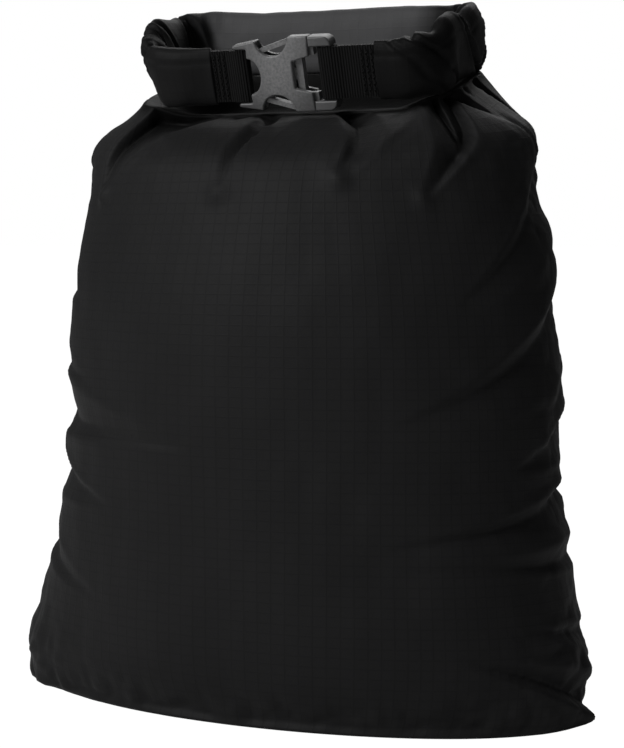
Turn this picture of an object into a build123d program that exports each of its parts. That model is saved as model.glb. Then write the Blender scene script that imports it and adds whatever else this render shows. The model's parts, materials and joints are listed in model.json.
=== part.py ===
from build123d import *
import os
from math import atan2, cos, degrees, radians, sqrt

# Roll-top compression sack, standing on its oval base, millimetres.
# +Z is up and the buckle faces -Y. The origin is the middle of the base, on the floor.
# The closed mouth is a flat roll bent into a ring that leans forward over the sack.

# ---- the cloth sack ----
BASE_WIDTH = 232.0          # flat oval that stands on the floor
BASE_DEPTH = 114.0
HEM_HEIGHT = 12.0           # height of the widest line, just above the base seam
HEM_WIDTH = 238.0
HEM_DEPTH = 120.0
HIP_HEIGHT = 50.0
HIP_WIDTH = 229.0
HIP_DEPTH = 124.0
BELLY_HEIGHT = 100.0
BELLY_WIDTH = 214.0
BELLY_DEPTH = 125.0
CHEST_HEIGHT = 160.0
CHEST_WIDTH = 206.0
CHEST_DEPTH = 122.0
RIM_HEIGHT = 213.0          # the shoulder line, where the sack starts to close
RIM_WIDTH = 190.0
RIM_DEPTH = 102.0
CLOTH = 1.2                 # coated cloth with its lining tape, as one wall
TAPE_THICKNESS = 0.6
TAPE_GAP = 0.15             # between a wall and the tape on its inside
BASE_TAPE_HEIGHT = 8.0
SIDE_TAPE_WIDTH = 12.0
BODY_GAP = 0.4              # between pieces that move against each other
LOAD_GAP = 0.3              # between the packed load and the tapes round it

# ---- the neck, from the shoulder line up to the roll ----
NECK_RISE = 42.5            # shoulder line to the middle of the ring
NECK_MID_RISE = 17.0
NECK_MID_WIDTH = 177.0
NECK_MID_DEPTH = 92.0
NECK_MARGIN = 2.0           # how far the neck's top stands out past the ring, all round

# ---- the rolled mouth, bent into a ring ----
RING_DEPTH = 66.0           # outside depth; the width follows from the front line
RING_CORNER = 21.0          # outside corner radius, seen from above
RING_LEAN = 18.0            # degrees that the front of the ring hangs forward and down
ROLL_THICKNESS = 10.0
ROLL_MARGIN = 2.0           # roll above and below the webbing
ROLL_EDGE = 4.6             # rounding along the roll
RIGHT_ARM_LENGTH = 6.0      # straight front arm; the left one fills what is left

# ---- strip inside the roll, as wide as the webbing ----
STIFFENER_THICKNESS = 1.0
POCKET_CLEARANCE = 0.3      # between a strip or webbing and the pocket that holds it

# ---- webbing ----
WEBBING_WIDTH = 20.0
WEBBING_THICKNESS = 1.2
WEBBING_SHOWN_LEFT = 10.7   # between the buckle and the arm
WEBBING_SHOWN_RIGHT = 17.1
WEBBING_TAIL_LEFT = 17.0    # sewn inside the left arm; the right arm is filled
LOOP_CLEARANCE = 0.15       # between the webbing and the buckle's bar
LOOP_TAPER = 4.0            # length in which the loop closes to a double layer
TACK_ROWS = 3
TACK_PITCH = 2.0
TACK_WIDTH = 0.9
TACK_RAISED = 0.35
TACK_INSET = 1.6            # from the arm's end to the first row
TACK_SIDE = 1.2             # webbing left bare at each end of a row

# ---- side-release buckle, lengths measured from its own middle ----
BUCKLE_X = 4.2              # its middle, along the ring's front line
SOCKET_LEFT = -20.5         # the two ends of the socket
SOCKET_MOUTH = 11.3
SOCKET_FORK_WALL = 1.5      # arms of the fork beside the webbing
SOCKET_FLARE = 4.5          # the mouth stands out this far past the webbing, each side
SOCKET_THICKNESS = 8.0
SOCKET_WALL = 1.5           # side walls beside the mouth
SOCKET_CROWN = 60.0         # radius of the rounded faces
CAVITY_LEFT = -11.2
CAVITY_THICKNESS = 3.4
SIDE_OPENING_X = -4.0       # finger openings in the two sides
SIDE_OPENING_RADIUS = 6.8
SIDE_OPENING_IN = 0.2       # the opening's centre lies this far inside the mouth's edge
NOTCH_DEPTH = 7.0           # notch in the mouth
NOTCH_OUTER_WIDTH = 14.2
NOTCH_INNER_WIDTH = 10.4
WINDOW_RIGHT = -9.5         # window between the bar and the middle
WINDOW_WIDTH = 13.6
BAR_THICKNESS = 2.4
SOCKET_BAR_WIDTH = 4.0
FORK_CLEARANCE = 0.4        # beside the webbing, in the fork and in the frame
EDGE_ROUND = 0.7

PLUG_RIGHT = 20.7
PLUG_FRAME_WALL = 3.8       # beside the webbing
PLUG_THICKNESS = 6.4
PLUG_CORNER = 3.0
PLUG_BAR_WIDTH = 5.0
MOUTH_GAP = 0.3             # between the plug's frame and the socket's mouth
INSERT_CLEARANCE = 0.2      # above and below what slides in the cavity
BEAM_LEFT = 5.0             # cross-beam that carries the guide
BEAM_WIDTH = 2.8
RAIL_INSET = 3.8            # from the side of the cavity to the rail
RAIL_WIDTH = 2.0
GUIDE_LEFT = -8.0
GUIDE_WIDTH = 4.4
PRONG_ROOT_X = 9.4          # the prong bends about this point
PRONG_ROOT_INSET = 2.0      # from the side of the cavity
PRONG_ROOT_RADIUS = 1.5
PRONG_ROOT_CLEARANCE = 0.15
PRONG_BEAM = 1.7
PRONG_CATCH = 0.7           # the latch stands out this far past the side of the cavity
LATCH_PLAY = 0.3            # between the latch face and the end of the side opening
PRONG_PADDLE = 1.9          # thickness at the latch
PRONG_TIP_X = -10.0
PRONG_TIP_INSET = 2.8       # from the side of the cavity
PRONG_TIP = 2.0

FAR = 400.0                 # larger than the object, for cutting boxes

ROLL_HEIGHT = WEBBING_WIDTH + 2 * ROLL_MARGIN
STIFFENER_WIDTH = WEBBING_WIDTH
LEFT_ARM_END = BUCKLE_X + SOCKET_LEFT - WEBBING_SHOWN_LEFT
RIGHT_ARM_END = BUCKLE_X + PLUG_RIGHT + WEBBING_SHOWN_RIGHT
ARM_SPLIT = RIGHT_ARM_END + RIGHT_ARM_LENGTH            # where the arms join the bends
RING_WIDTH = 2 * (ARM_SPLIT + RING_CORNER)
RING_CENTRE_Z = RIM_HEIGHT + NECK_RISE
RING_FRONT_Y = -(RING_DEPTH - ROLL_THICKNESS) / 2
WEBBING_TAIL_RIGHT = RIGHT_ARM_LENGTH - 1.5 * BODY_GAP
SOCKET_MOUTH_HALF = WEBBING_WIDTH / 2 + SOCKET_FLARE


# ---------------------------------------------------------------- helpers
def oval(width, depth, height, lean=0.0, inset=0.0):
    """A flat ellipse, drawn in by inset all round."""
    place = Pos(0, 0, height) * Rot(X=lean)
    return place * Ellipse(width / 2 - inset, depth / 2 - inset)


def span(x=(-FAR, FAR), y=(-FAR, FAR), z=(-FAR, FAR)):
    """A box between the given limits."""
    size = [high - low for low, high in (x, y, z)]
    middle = [(high + low) / 2 for low, high in (x, y, z)]
    return Pos(*middle) * Box(*size)


def upright(sketch, thickness):
    """A sketch whose y is the object's z, thickened evenly about the y = 0 plane."""
    return Rot(X=90) * extrude(sketch, thickness / 2, both=True)


def in_ring(shape):
    """Moves a shape from the ring's own frame to its place on the sack."""
    return Pos(0, 0, RING_CENTRE_Z) * Rot(X=RING_LEAN) * shape


def at_front(shape):
    """Moves a shape from the buckle's own frame to the front line of the ring."""
    return in_ring(Pos(BUCKLE_X, RING_FRONT_Y, 0) * shape)


def save(name, *shapes):
    """Writes one sub-part; several shapes become separate solids of one node."""
    solids = [solid for shape in shapes for solid in shape.solids()]
    shape = solids[0] if len(solids) == 1 else Compound(children=solids)
    export_step(shape, f"parts/{name}.step")


# ---------------------------------------------------------------- the sack
def sack_form(inset):
    """The full sack from the base panel up to the shoulder line, drawn in by inset."""
    sections = [
        oval(BASE_WIDTH, BASE_DEPTH, CLOTH, inset=inset),
        oval(HEM_WIDTH, HEM_DEPTH, HEM_HEIGHT, inset=inset),
        oval(HIP_WIDTH, HIP_DEPTH, HIP_HEIGHT, inset=inset),
        oval(BELLY_WIDTH, BELLY_DEPTH, BELLY_HEIGHT, inset=inset),
        oval(CHEST_WIDTH, CHEST_DEPTH, CHEST_HEIGHT, inset=inset),
        oval(RIM_WIDTH, RIM_DEPTH, RIM_HEIGHT, inset=inset),
    ]
    return loft(sections)


def sack_panels():
    """Front and back panels, meeting at the side seams."""
    wall = sack_form(0) - sack_form(CLOTH)
    return wall & span(y=(-FAR, 0)), wall & span(y=(0, FAR))


def base_panel():
    return extrude(oval(BASE_WIDTH, BASE_DEPTH, 0), CLOTH)


def seam_tapes():
    """Tapes on the inside of the base seam and of the two side seams."""
    outer = CLOTH + TAPE_GAP
    lining = sack_form(outer) - sack_form(outer + TAPE_THICKNESS)
    base_top = CLOTH + BASE_TAPE_HEIGHT
    base = lining & span(z=(CLOTH, base_top))
    half = SIDE_TAPE_WIDTH / 2
    side_z = (base_top + TAPE_GAP, RIM_HEIGHT - CLOTH)
    left = lining & span(x=(-FAR, 0), y=(-half, half), z=side_z)
    right = lining & span(x=(0, FAR), y=(-half, half), z=side_z)
    return base, left, right


# ---------------------------------------------------------------- the neck
def neck_form(inset):
    """The neck, drawn in by inset; its top lies just under the leaning ring."""
    under_rear = ROLL_HEIGHT / 2 + BODY_GAP + inset
    under_buckle = SOCKET_MOUTH_HALF + BODY_GAP + inset
    centre_lines = RING_DEPTH - ROLL_THICKNESS
    extra_lean = degrees(atan2(under_buckle - under_rear, centre_lines))
    under_middle = (under_rear + under_buckle) / 2
    top = oval(
        RING_WIDTH + 2 * NECK_MARGIN,
        RING_DEPTH + 2 * NECK_MARGIN,
        RING_CENTRE_Z - under_middle / cos(radians(RING_LEAN)),
        lean=RING_LEAN + extra_lean,
        inset=inset,
    )
    middle = oval(
        NECK_MID_WIDTH,
        NECK_MID_DEPTH,
        RIM_HEIGHT + NECK_MID_RISE - inset,
        lean=RING_LEAN / 2,
        inset=inset,
    )
    bottom = oval(RIM_WIDTH, RIM_DEPTH, RIM_HEIGHT + BODY_GAP, inset=inset)
    return loft([bottom, middle, top])


def neck_panels():
    """The closing part of the front and back panels."""
    wall = neck_form(0) - neck_form(CLOTH)
    return wall & span(y=(-FAR, 0)), wall & span(y=(0, FAR))


def packed_load():
    """The folded clothes that fill the sack, as one soft block up to the roll."""
    inset = CLOTH + TAPE_GAP + TAPE_THICKNESS + LOAD_GAP
    floor_gap = span(z=(CLOTH + LOAD_GAP, FAR))
    rim = extrude(oval(RIM_WIDTH, RIM_DEPTH, RIM_HEIGHT, inset=inset), BODY_GAP)
    return (sack_form(inset) + rim + neck_form(inset)) & floor_gap


# ---------------------------------------------------------------- the rolled mouth
def ring_band(thickness, height, edge=0.0):
    """A band of that thickness and height round the ring's middle line."""
    spare = (ROLL_THICKNESS - thickness) / 2
    outside = RectangleRounded(RING_WIDTH - 2 * spare, RING_DEPTH - 2 * spare, RING_CORNER - spare)
    inner = ROLL_THICKNESS - spare
    inside = RectangleRounded(RING_WIDTH - 2 * inner, RING_DEPTH - 2 * inner, RING_CORNER - inner)
    band = extrude(outside - inside, height / 2, both=True)
    if edge:
        rims = band.edges().filter_by_position(Axis.Z, height / 2, height / 2)
        rims += band.edges().filter_by_position(Axis.Z, -height / 2, -height / 2)
        band = fillet(rims, edge)
    return band


def rolled_mouth():
    """Rear roll, two bends and two front arms, each with the pocket for what lies in it."""
    band = ring_band(ROLL_THICKNESS, ROLL_HEIGHT, ROLL_EDGE)
    pocket = ring_band(
        STIFFENER_THICKNESS + 2 * POCKET_CLEARANCE, STIFFENER_WIDTH + 2 * POCKET_CLEARANCE
    )
    roll = band - pocket
    rear = roll & span(x=(-ARM_SPLIT, ARM_SPLIT), y=(0, FAR))
    bend_left = roll & span(x=(-FAR, -ARM_SPLIT))
    bend_right = roll & span(x=(ARM_SPLIT, FAR))

    sleeve = Pos(0, RING_FRONT_Y, 0) * Box(
        FAR, 2 * WEBBING_THICKNESS + 2 * POCKET_CLEARANCE, WEBBING_WIDTH + 2 * POCKET_CLEARANCE
    )
    arms = band - sleeve
    arm_left = arms & span(x=(-ARM_SPLIT + BODY_GAP, LEFT_ARM_END), y=(-FAR, 0))
    arm_right = arms & span(x=(RIGHT_ARM_END, ARM_SPLIT - BODY_GAP), y=(-FAR, 0))
    return rear, bend_left, bend_right, arm_left, arm_right


def mouth_stiffener():
    """The springy strip in the roll, from one front arm round the back to the other."""
    strip = ring_band(STIFFENER_THICKNESS, STIFFENER_WIDTH)
    front_gap = span(x=(-ARM_SPLIT - BODY_GAP, ARM_SPLIT + BODY_GAP), y=(-FAR, 0))
    return strip - front_gap


# ---------------------------------------------------------------- webbing
def webbing_loop(bar_x, bar_width, away, end_x):
    """Webbing round a buckle's bar, closed to a double layer that runs to end_x."""
    layer = WEBBING_THICKNESS
    inner = BAR_THICKNESS / 2 + LOOP_CLEARANCE
    closed_x = bar_x + away * (bar_width / 2 + LOOP_TAPER)
    bar_hole = Pos(bar_x, 0) * SlotOverall(bar_width + 2 * LOOP_CLEARANCE, 2 * inner)
    bar_wrap = Pos(bar_x, 0) * SlotOverall(
        bar_width + 2 * (LOOP_CLEARANCE + layer), 2 * (inner + layer)
    )
    joint = Pos(closed_x, 0) * Rectangle(0.4, 2 * layer)
    tip = Pos(closed_x - away * layer, 0) * Circle(0.1)
    outside = make_hull(bar_wrap.edges() + joint.edges())
    inside = make_hull(bar_hole.edges() + tip.edges())
    tail = Pos((closed_x + end_x) / 2, 0) * Rectangle(abs(end_x - closed_x), 2 * layer)
    return extrude(outside + tail - inside, WEBBING_WIDTH / 2, both=True)


def tack_rows(start_x, away):
    """Rows of stitching through the webbing beside the arm's end, raised on both faces."""
    rows = []
    for row in range(TACK_ROWS):
        x = start_x - away * (TACK_INSET + row * TACK_PITCH)
        for side in (-1, 1):
            y = side * (WEBBING_THICKNESS + TACK_RAISED / 2)
            size = (TACK_WIDTH, TACK_RAISED, WEBBING_WIDTH - 2 * TACK_SIDE)
            rows.append(Pos(x, y, 0) * Box(*size))
    return rows


# ---------------------------------------------------------------- buckle
SOCKET_BAR_X = SOCKET_LEFT + SOCKET_BAR_WIDTH / 2 + 0.3
PLUG_BAR_X = PLUG_RIGHT - PLUG_BAR_WIDTH / 2 - 0.3
FORK_INNER = WEBBING_WIDTH / 2 + FORK_CLEARANCE
CAVITY_HALF = SOCKET_MOUTH_HALF - SOCKET_WALL
OPENING_CENTRE = SOCKET_MOUTH_HALF - SIDE_OPENING_IN
OPENING_CHORD = sqrt(SIDE_OPENING_RADIUS**2 - (OPENING_CENTRE - CAVITY_HALF) ** 2)
RAIL_OUTER = CAVITY_HALF - RAIL_INSET
RAIL_INNER = RAIL_OUTER - RAIL_WIDTH
PRONG_ROOT_Z = CAVITY_HALF - PRONG_ROOT_INSET
PRONG_SHOULDER_X = SIDE_OPENING_X + OPENING_CHORD - LATCH_PLAY
PRONG_SHOULDER_Z = CAVITY_HALF + PRONG_CATCH
PRONG_TIP_Z = CAVITY_HALF - PRONG_TIP_INSET


def mirrored(points):
    """Closes an upper outline with its mirror image below the middle line."""
    return points + [(x, -y) for x, y in reversed(points)]


def bar(x, width):
    """A flat bar with round edges that the webbing goes round."""
    section = Pos(x, 0) * SlotOverall(width, BAR_THICKNESS)
    return extrude(section, FORK_INNER + 0.5, both=True)


def buckle_socket():
    """X-shaped housing with its bar, finger openings, mouth notch and inner cavity."""
    outline = Polygon(
        *mirrored(
            [
                (SOCKET_LEFT, FORK_INNER + SOCKET_FORK_WALL),
                (SIDE_OPENING_X, SOCKET_MOUTH_HALF),
                (SOCKET_MOUTH, SOCKET_MOUTH_HALF),
            ]
        ),
        align=None,
    )
    for side in (-1, 1):
        outline -= Pos(SIDE_OPENING_X, side * OPENING_CENTRE) * Circle(SIDE_OPENING_RADIUS)
    notch = Polygon(
        *mirrored(
            [
                (SOCKET_MOUTH - NOTCH_DEPTH, NOTCH_INNER_WIDTH / 2),
                (SOCKET_MOUTH + 1, NOTCH_OUTER_WIDTH / 2),
            ]
        ),
        align=None,
    )
    outline -= notch
    fork_right = SOCKET_BAR_X + SOCKET_BAR_WIDTH / 2 + WEBBING_THICKNESS + 2 * LOOP_CLEARANCE
    outline -= Pos((SOCKET_LEFT - 5 + fork_right) / 2, 0) * Rectangle(
        fork_right - SOCKET_LEFT + 5, 2 * FORK_INNER
    )
    window_reach = WINDOW_RIGHT - fork_right
    outline -= Pos(fork_right, 0) * Ellipse(window_reach, WINDOW_WIDTH / 2)
    outline = fillet(outline.vertices(), EDGE_ROUND)

    body = upright(outline, SOCKET_THICKNESS)
    crown_centre = SOCKET_CROWN - SOCKET_THICKNESS / 2
    for side in (-1, 1):
        crown = Rot(Y=90) * Cylinder(SOCKET_CROWN, FAR)
        body &= Pos(0, side * crown_centre, 0) * crown
    cavity_middle = (CAVITY_LEFT + SOCKET_MOUTH + 1) / 2
    cavity = Pos(cavity_middle, 0, 0) * Box(
        SOCKET_MOUTH + 1 - CAVITY_LEFT, CAVITY_THICKNESS, 2 * CAVITY_HALF
    )
    crown_drop = SOCKET_CROWN - sqrt(SOCKET_CROWN**2 - SOCKET_MOUTH_HALF**2)
    face_y = SOCKET_THICKNESS / 2 - crown_drop - 0.1
    outer_face = body.edges().filter_by(lambda e: abs(e.center().Y) > face_y)
    body = fillet(outer_face, EDGE_ROUND)
    return body - cavity + bar(SOCKET_BAR_X, SOCKET_BAR_WIDTH)


def prong(side):
    """One flexible prong: round root, thin beam, latch shoulder and finger paddle."""
    beam_top = PRONG_ROOT_Z + PRONG_ROOT_RADIUS
    outline = Polygon(
        (PRONG_ROOT_X, beam_top),
        (PRONG_SHOULDER_X, beam_top),
        (PRONG_SHOULDER_X, PRONG_SHOULDER_Z),
        (PRONG_TIP_X, PRONG_TIP_Z),
        (PRONG_TIP_X, PRONG_TIP_Z - PRONG_TIP),
        (PRONG_SHOULDER_X, PRONG_SHOULDER_Z - PRONG_PADDLE),
        (PRONG_ROOT_X, beam_top - PRONG_BEAM),
        align=None,
    )
    tip_corners = outline.vertices().sort_by(Axis.X)[:2]
    outline = fillet(tip_corners, PRONG_TIP * 0.45)
    outline += Pos(PRONG_ROOT_X, PRONG_ROOT_Z) * Circle(PRONG_ROOT_RADIUS)
    if side < 0:
        outline = mirror(outline, about=Plane.XZ)
    return upright(outline, CAVITY_THICKNESS - 2 * INSERT_CLEARANCE)


def buckle_plug():
    """Frame with its bar, two rails, a cross-beam and the centre guide."""
    frame_left = SOCKET_MOUTH + MOUTH_GAP
    frame = Pos((frame_left + PLUG_RIGHT) / 2, 0) * Rectangle(
        PLUG_RIGHT - frame_left, 2 * (FORK_INNER + PLUG_FRAME_WALL)
    )
    right_corners = frame.vertices().sort_by(Axis.X)[-2:]
    frame = fillet(right_corners, PLUG_CORNER)
    frame -= Pos((frame_left + PLUG_RIGHT) / 2, 0) * Rectangle(FAR, 2 * FORK_INNER)
    frame = upright(frame, PLUG_THICKNESS)
    faces = frame.edges().filter_by(lambda e: abs(e.center().Y) > PLUG_THICKNESS / 2 - 0.1)
    frame = fillet(faces, EDGE_ROUND)

    beam_right = BEAM_LEFT + BEAM_WIDTH
    insert = Pos((BEAM_LEFT + beam_right) / 2, 0) * Rectangle(BEAM_WIDTH, 2 * RAIL_OUTER)
    insert += Pos((GUIDE_LEFT + BEAM_LEFT) / 2, 0) * Rectangle(
        BEAM_LEFT - GUIDE_LEFT + 0.2, GUIDE_WIDTH
    )
    for side in (-1, 1):
        rail_middle = side * (RAIL_INNER + RAIL_OUTER) / 2
        insert += Pos((BEAM_LEFT + frame_left) / 2, rail_middle) * Rectangle(
            frame_left - BEAM_LEFT, RAIL_OUTER - RAIL_INNER
        )
        block_outer = CAVITY_HALF - INSERT_CLEARANCE
        insert += Pos((PRONG_ROOT_X + frame_left) / 2, side * (RAIL_INNER + block_outer) / 2) * Rectangle(
            frame_left - PRONG_ROOT_X, block_outer - RAIL_INNER
        )
        insert -= Pos(PRONG_ROOT_X, side * PRONG_ROOT_Z) * Circle(
            PRONG_ROOT_RADIUS + PRONG_ROOT_CLEARANCE
        )
    shank = Pos(frame_left + 0.6, 0) * Rectangle(1.6, 2 * (CAVITY_HALF - INSERT_CLEARANCE))
    shank -= Pos(frame_left, 0) * Rectangle(4, 2 * RAIL_INNER)
    insert = upright(insert + shank, CAVITY_THICKNESS - 2 * INSERT_CLEARANCE)
    return frame + insert + bar(PLUG_BAR_X, PLUG_BAR_WIDTH)


# ---------------------------------------------------------------- build
os.makedirs("parts", exist_ok=True)

front_panel, back_panel = sack_panels()
base_tape, side_tape_left, side_tape_right = seam_tapes()
neck_front, neck_back = neck_panels()
roll_rear, roll_bend_left, roll_bend_right, roll_arm_left, roll_arm_right = rolled_mouth()

save("front_panel", front_panel)
save("back_panel", back_panel)
save("base_panel", base_panel())
save("base_seam_tape", base_tape)
save("side_seam_tape_left", side_tape_left)
save("side_seam_tape_right", side_tape_right)
save("packed_load", packed_load())
save("neck_front", neck_front)
save("neck_back", neck_back)
save("roll_rear", in_ring(roll_rear))
save("roll_bend_left", in_ring(roll_bend_left))
save("roll_bend_right", in_ring(roll_bend_right))
save("roll_arm_left", in_ring(roll_arm_left))
save("roll_arm_right", in_ring(roll_arm_right))
save("mouth_stiffener", in_ring(mouth_stiffener()))

left_end = LEFT_ARM_END - BUCKLE_X
right_end = RIGHT_ARM_END - BUCKLE_X
webbing_left = webbing_loop(SOCKET_BAR_X, SOCKET_BAR_WIDTH, -1, left_end - WEBBING_TAIL_LEFT)
webbing_right = webbing_loop(PLUG_BAR_X, PLUG_BAR_WIDTH, 1, right_end + WEBBING_TAIL_RIGHT)
save("webbing_left", at_front(webbing_left))
save("webbing_right", at_front(webbing_right))
save("tack_stitching_left", *[at_front(row) for row in tack_rows(left_end, -1)])
save("tack_stitching_right", *[at_front(row) for row in tack_rows(right_end, 1)])
save("buckle_socket", at_front(buckle_socket()))
save("buckle_plug", at_front(buckle_plug()))
save("buckle_prong_upper", at_front(prong(1)))
save("buckle_prong_lower", at_front(prong(-1)))
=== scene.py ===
"""Roll-top compression sack: the looks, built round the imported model. Metres, same frame as the CAD."""
import json
from math import ceil, cos, exp, pi, radians, sin, sqrt
import bpy
import numpy as np
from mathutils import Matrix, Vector, noise
from mathutils.bvhtree import BVHTree


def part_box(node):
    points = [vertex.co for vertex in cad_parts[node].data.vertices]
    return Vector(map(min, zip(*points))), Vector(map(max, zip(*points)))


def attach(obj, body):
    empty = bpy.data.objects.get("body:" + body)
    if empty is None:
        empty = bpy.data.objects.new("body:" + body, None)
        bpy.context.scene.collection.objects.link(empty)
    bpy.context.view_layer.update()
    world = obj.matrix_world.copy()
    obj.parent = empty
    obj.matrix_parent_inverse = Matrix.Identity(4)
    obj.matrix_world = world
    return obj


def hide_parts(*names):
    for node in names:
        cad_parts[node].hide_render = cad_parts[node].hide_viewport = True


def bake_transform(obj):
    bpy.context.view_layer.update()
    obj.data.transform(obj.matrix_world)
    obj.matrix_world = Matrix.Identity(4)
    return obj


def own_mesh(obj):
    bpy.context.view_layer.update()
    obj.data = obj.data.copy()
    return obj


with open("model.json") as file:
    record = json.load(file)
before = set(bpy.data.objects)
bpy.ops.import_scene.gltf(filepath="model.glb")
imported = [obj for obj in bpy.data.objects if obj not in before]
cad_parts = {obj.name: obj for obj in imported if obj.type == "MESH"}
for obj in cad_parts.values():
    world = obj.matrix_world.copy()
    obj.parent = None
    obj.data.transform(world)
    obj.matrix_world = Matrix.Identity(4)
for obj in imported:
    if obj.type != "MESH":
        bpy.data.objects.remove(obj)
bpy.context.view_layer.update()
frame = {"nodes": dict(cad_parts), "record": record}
nodes = frame["nodes"]
MM = 0.001

# -------------------- settings
# cloth sack
GIRTH_STEPS = 240  # columns round the sack
WALL_STEPS = 84  # rows from the base to the shoulder line
NECK_STEPS = 18  # rows from the shoulder line to the roll
BASE_ROWS = (0.25, 0.5, 0.75, 0.9, 0.97)  # rows under the base, as shares of its size
FIRST_WALL_ROW = len(BASE_ROWS)
RIM_ROW = FIRST_WALL_ROW + WALL_STEPS - 1
BUCKLE_ROOM = 4.5 * MM  # how far the neck keeps back and down from the buckle
# Rows of the hollow inside the ring: how far out from the roll's middle line, in thicknesses of the
# roll, and how far below its lower edge, in mm.
HOLLOW_ROWS = ((-0.75, 3.0), (-1.2, 8.0), (-2.0, 11.0))
TUCK = 1.0 * MM  # how far the cloth goes up inside the roll
EASED_BELOW = 16  # rows of the bend at the shoulder that are rounded off, below its line
EASED_SHORT = 8  # rows at the top of the neck that aren't
EASE_PASSES = 60
LOOSE = 1.012  # size of the cloth that is cut, against the form it lies on
LOOSEST = 1.55  # the most that it is at the shoulder
LOOSE_BELOW = 14  # rows below the shoulder line where that begins
CLOTH_INSET = 1.0 * MM  # the form starts this far inside the CAD shell, because it swells
SWELL_LIMIT = 5.0 * MM  # furthest that the simulation may move a point
SIM_FRAMES = 24
RIPSTOP_PITCH = 3.8 * MM  # spacing of the ripstop's thicker threads
FINE_THREADS = 9  # of its fine ones, in each such space
TAPE_INSET = 0.9 * MM  # seam tape below the cloth
LOAD_INSET = 11.0 * MM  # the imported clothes, clear of the deepest fold

# rolled mouth
ROLL_STEP = 1.0 * MM  # along the roll
ROLL_SIDES = 56  # round its section
STRIP_START = 50  # steps of the roll before the stiff strip inside it begins
STRIP_HALF = (0.4 * MM, 8 * MM)  # half its thickness and half its height
REAR_OPEN = 7.0 * MM  # how far the rear roll's lower edge leans in
CAP_RINGS = 3  # rings of points that close each end of a piece
# Where the roll's lower edge is drawn in: place along it, spread and depth, in mm.
TUCKS = ((36, 12, 7.0), (60, 16, 4.0), (236, 14, 3.0))
# Where the whole roll is drawn in.
PULLS = ((44, 18, 4.0),)
# Where the roll's upper edge rises or dips: place along it, spread and height, in mm.
LIFTS = ((52, 15, 7.0), (84, 20, 3.0), (216, 9, 2.5), (243, 12, 4.0), (229, 4, -3.0), (254, 4, -2.0))
# Creases across the roll: place along it from the left end, slant, width, depth (mm), and the side
# that has them: 1 outside, -1 inside, 0 both.
CREASES = (
    (29, 4, 1.6, 1.2, 1),
    (34, -5, 1.8, 1.8, 1),
    (39, 7, 1.6, 1.6, 0),
    (44, -3, 1.8, 1.6, 1),
    (56, -6, 2.4, 1.6, -1),
    (72, 5, 2.0, 1.6, 0),
    (86, -7, 2.4, 1.6, -1),
    (203, 8, 2.2, 1.6, 0),
    (214, -9, 2.0, 1.8, 0),
    (229, 9, 2.2, 2.4, 0),
    (241, -8, 2.2, 1.6, -1),
    (252, 12, 2.0, 1.8, 0),
    (262, 10, 1.8, 1.0, 1),
)

# webbing, and the stitching on each face of it
RIB_PITCH = 1.05 * MM
TWILL_PITCH = 0.75 * MM
TACK_ROWS = 3
ROW_STITCHES = 15
STITCH_SIDES = 6  # round the thread
STITCH_PARTS = 4  # along one stitch
THREAD_RADIUS = 0.32 * MM
THREAD_SUNK = 0.12 * MM  # middle of the thread, below the webbing's face

# camera and light
CAMERA_PAN = -0.16  # degrees that the camera is turned off the sack's axis
CAMERA_DISTANCE = 0.790  # from the sack's axis
CAMERA_AZIMUTH = 25.0  # degrees to the viewer's right
CAMERA_HEIGHT = 0.184
CAMERA_PITCH = 3.87  # degrees downwards
LENS_MM = 95.9
AMBIENT = 0.08  # the room's light, from all round


# -------------------- the CAD's own frames
def mount(name):
    return next(m for m in frame["record"]["mounts"] if m["name"] == name)


ring = mount("carry_loop")
RING_CENTRE = Vector(ring["pos_m"])
RING_X = Vector((1, 0, 0))
RING_UP = Vector(ring["axis"]).normalized()
RING_BACK = RING_UP.cross(RING_X)


def from_ring(x, y, z):
    """A point given in the leaning ring's frame, as a point in the shared frame."""
    return RING_CENTRE + RING_X * x + RING_BACK * y + RING_UP * z


def ring_box(name):
    """Lowest and highest values of a node in the ring's frame."""
    points = np.array([v.co for v in nodes[name].data.vertices]) - np.array(RING_CENTRE)
    local = points @ np.array([RING_X, RING_BACK, RING_UP]).T
    return local.min(axis=0), local.max(axis=0)


REAR_LOW, REAR_HIGH = ring_box("roll_rear")
BEND_LOW = ring_box("roll_bend_left")[0]
LEFT_END = ring_box("roll_arm_left")[1][0]
RIGHT_END = ring_box("roll_arm_right")[0][0]
ROLL_HALF = REAR_HIGH[2]  # half the roll's height
ROLL_THICK = REAR_HIGH[1] - REAR_LOW[1]
RING_HALF_WIDTH = -BEND_LOW[0] - ROLL_THICK / 2  # to the roll's middle line
RING_HALF_DEPTH = REAR_HIGH[1] - ROLL_THICK / 2
BEND_RADIUS = RING_HALF_WIDTH - REAR_HIGH[0]
straight_x = RING_HALF_WIDTH - BEND_RADIUS  # to the ends of its straight stretches
straight_y = RING_HALF_DEPTH - BEND_RADIUS
# length of roll before its straight rear stretch: left arm, two bends and the side between them
REAR_START = LEFT_END + straight_x + pi * BEND_RADIUS + 2 * straight_y
RIM_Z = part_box("front_panel")[1][2]
FLOOR_GAP = 0.4 * MM


# -------------------- small tools
def smooth(low, high, value):
    """0 up to low, 1 from high, and an even slope between them that starts and ends flat."""
    t = np.clip((value - low) / (high - low), 0.0, 1.0)
    return t * t * (3 - 2 * t)


def make_mesh(name, points, faces, uvs=None):
    """A smooth-shaded object from points, faces and one uv pair for each face corner."""
    mesh = bpy.data.meshes.new(name)
    mesh.from_pydata([tuple(p) for p in points], [], faces)
    mesh.update()
    mesh.polygons.foreach_set("use_smooth", [True] * len(mesh.polygons))
    if uvs is not None:
        layer = mesh.uv_layers.new(name="cloth")
        layer.data.foreach_set("uv", np.asarray(uvs, dtype=np.float32).ravel())
    obj = bpy.data.objects.new(name, mesh)
    bpy.context.scene.collection.objects.link(obj)
    return obj


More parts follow.
